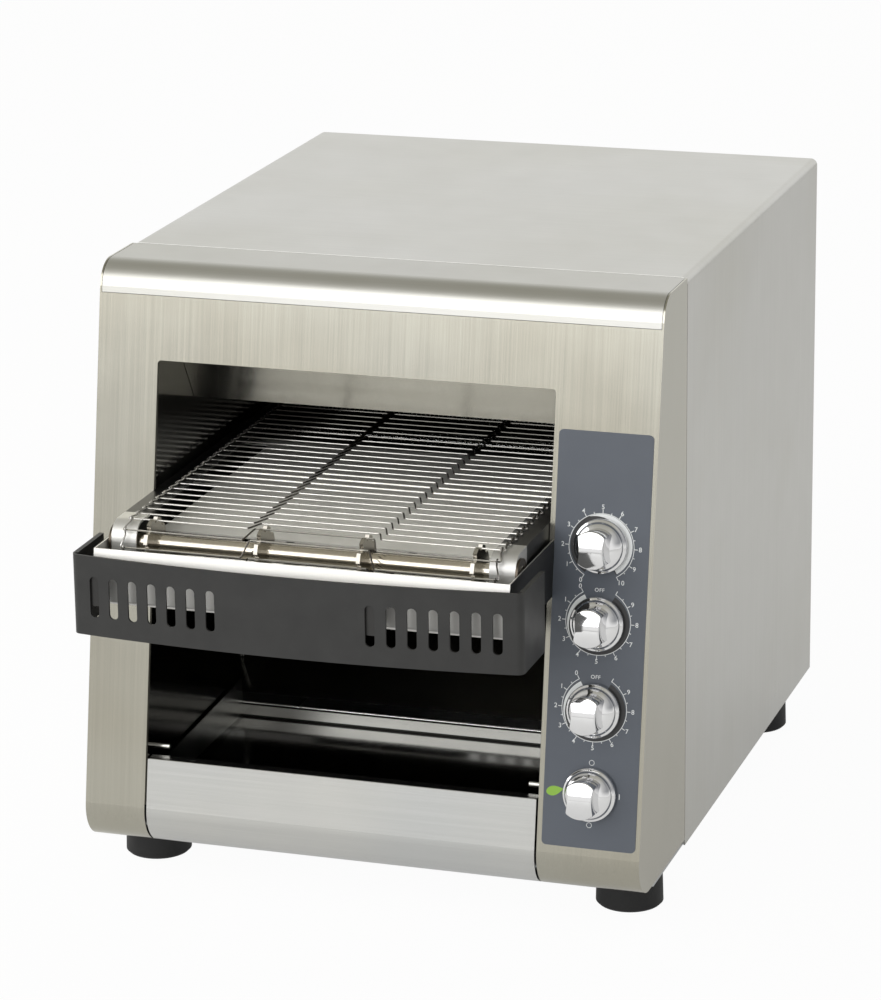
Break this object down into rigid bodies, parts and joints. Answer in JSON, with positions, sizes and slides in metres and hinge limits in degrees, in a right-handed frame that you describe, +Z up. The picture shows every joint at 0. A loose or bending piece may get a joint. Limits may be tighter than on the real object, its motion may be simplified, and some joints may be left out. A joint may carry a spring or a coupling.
{
  "type": "conveyor toaster",
  "caption": "Counter-top conveyor toaster: wire belt between quartz heaters under a sloping steel front, with guard, sliding receiving tray and a column of dials",
  "frame": {"origin": "on the surface the feet stand on, under the middle of the whole object", "axes": "+X to the right as seen from the front, +Y to the rear, +Z up"},
  "size_m": [0.368, 0.5566, 0.3965],
  "materials": {
    "wrap_steel": "brushed stainless sheet",
    "fascia_steel": "vertically brushed stainless sheet",
    "trim_steel": "brushed stainless sheet",
    "panel_steel": "plain zinc-coated sheet",
    "chamber_steel": "bright sheet, dulled by heat",
    "baffle_steel": "bright sheet",
    "ramp_steel": "bright sheet",
    "shield_steel": "bright sheet",
    "quartz": "clear quartz tube",
    "cap_ceramic": "unglazed off-white ceramic",
    "rail_steel": "plain stainless sheet",
    "bush_bronze": "sintered bronze",
    "belt_wire": "drawn stainless wire",
    "chain_steel": "oiled steel",
    "wheel_steel": "plain steel",
    "sprocket_steel": "plain stainless steel",
    "shaft_steel": "ground stainless bar",
    "motor_paint": "dark grey paint",
    "fan_plastic": "black plastic",
    "feed_steel": "bright stainless sheet",
    "guard_paint": "satin black coating",
    "bracket_paint": "satin black coating",
    "tray_steel": "brushed stainless sheet",
    "pin_steel": "plain stainless steel",
    "overlay_film": "grey printed film",
    "knob_chrome": "satin chrome",
    "spindle_steel": "plain steel",
    "control_body": "moulded body",
    "terminal_ceramic": "unglazed ceramic",
    "gland_plastic": "black plastic",
    "foot_rubber": "black rubber"
  },
  "bodies": {
    "housing": {"base_pan": "panel_steel", "outer_wrap": "wrap_steel", "rear_panel": "panel_steel", "front_fascia": "fascia_steel", "top_trim": "trim_steel", "chamber_wall_left": "chamber_steel", "chamber_wall_right": "chamber_steel", "chamber_roof": "chamber_steel", "front_baffle": "baffle_steel", "discharge_ramp": "ramp_steel", "belt_shield": "shield_steel", "lower_reflector": "chamber_steel", "upper_heaters": "quartz", "lower_heaters": "quartz", "heater_caps": "cap_ceramic", "rail_left": "rail_steel", "rail_right": "rail_steel", "front_bushes": "bush_bronze", "drive_bushes": "bush_bronze", "wire_belt": "belt_wire", "drive_chain": "chain_steel", "gear_motor": "motor_paint", "motor_bracket": "panel_steel", "fan_frame": "fan_plastic", "feed_tray": "feed_steel", "front_guard": "guard_paint", "guard_brackets": "bracket_paint", "tray_pins": "pin_steel", "control_overlay": "overlay_film", "control_bracket": "panel_steel", "speed_control": "control_body", "top_heat_control": "control_body", "bottom_heat_control": "control_body", "power_switch": "control_body", "terminal_block": "terminal_ceramic", "power_gland": "gland_plastic", "foot_front_left": "foot_rubber", "foot_front_right": "foot_rubber", "foot_rear_left": "foot_rubber", "foot_rear_right": "foot_rubber"},
    "drive_shaft_group": {"drive_shaft": "shaft_steel", "rear_sprockets": "sprocket_steel", "drive_chain_wheel": "wheel_steel"},
    "front_shaft_group": {"front_shaft": "shaft_steel", "front_sprockets": "sprocket_steel"},
    "motor_output": {"motor_sprocket": "wheel_steel"},
    "fan": {"fan_rotor": "fan_plastic"},
    "tray": {"receiving_tray": "tray_steel"},
    "speed_dial": {"speed_knob": "knob_chrome", "speed_spindle": "spindle_steel"},
    "top_heat_dial": {"top_heat_knob": "knob_chrome", "top_heat_spindle": "spindle_steel"},
    "bottom_heat_dial": {"bottom_heat_knob": "knob_chrome", "bottom_heat_spindle": "spindle_steel"},
    "power_dial": {"power_knob": "knob_chrome", "power_spindle": "spindle_steel"}
  },
  "joints": [
    {"name": "drive_shaft_spin", "type": "hinge", "parent": "housing", "child": "drive_shaft_group", "pos_m": [-0.01275, 0.19255, 0.243], "axis": [-1, 0, 0], "continuous": true, "deforming": ["wire_belt", "drive_chain"]},
    {"name": "front_shaft_spin", "type": "hinge", "parent": "housing", "child": "front_shaft_group", "pos_m": [-0.01275, -0.22925, 0.243], "axis": [-1, 0, 0], "continuous": true, "deforming": ["wire_belt"]},
    {"name": "motor_spin", "type": "hinge", "parent": "housing", "child": "motor_output", "pos_m": [0.1285, 0.19255, 0.1287], "axis": [-1, 0, 0], "continuous": true, "deforming": ["drive_chain"]},
    {"name": "fan_spin", "type": "hinge", "parent": "housing", "child": "fan", "pos_m": [0.15075, 0.25575, 0.1135], "axis": [0, 1, 0], "continuous": true},
    {"name": "receiving_tray_slide", "type": "slide", "parent": "housing", "child": "tray", "axis": [0, -0.9989, -0.0471], "range_m": [0, 0.13]},
    {"name": "speed_turn", "type": "hinge", "parent": "housing", "child": "speed_dial", "pos_m": [0.1512, -0.16868, 0.24522], "axis": [0, 0.9857, -0.1685], "range_deg": [-150, 150]},
    {"name": "top_heat_turn", "type": "hinge", "parent": "housing", "child": "top_heat_dial", "pos_m": [0.1512, -0.1768, 0.19772], "axis": [0, -0.9857, 0.1685], "range_deg": [0, 330]},
    {"name": "bottom_heat_turn", "type": "hinge", "parent": "housing", "child": "bottom_heat_dial", "pos_m": [0.1512, -0.18591, 0.14442], "axis": [0, -0.9857, 0.1685], "range_deg": [0, 330]},
    {"name": "power_turn", "type": "hinge", "parent": "housing", "child": "power_dial", "pos_m": [0.1512, -0.19475, 0.09272], "axis": [0, 0.9857, -0.1685], "range_deg": [0, 270]}
  ],
  "couplings": [
    {"joint": "front_shaft_spin", "follows": "drive_shaft_spin", "ratio": 1},
    {"joint": "motor_spin", "follows": "drive_shaft_spin", "ratio": 1}
  ]
}
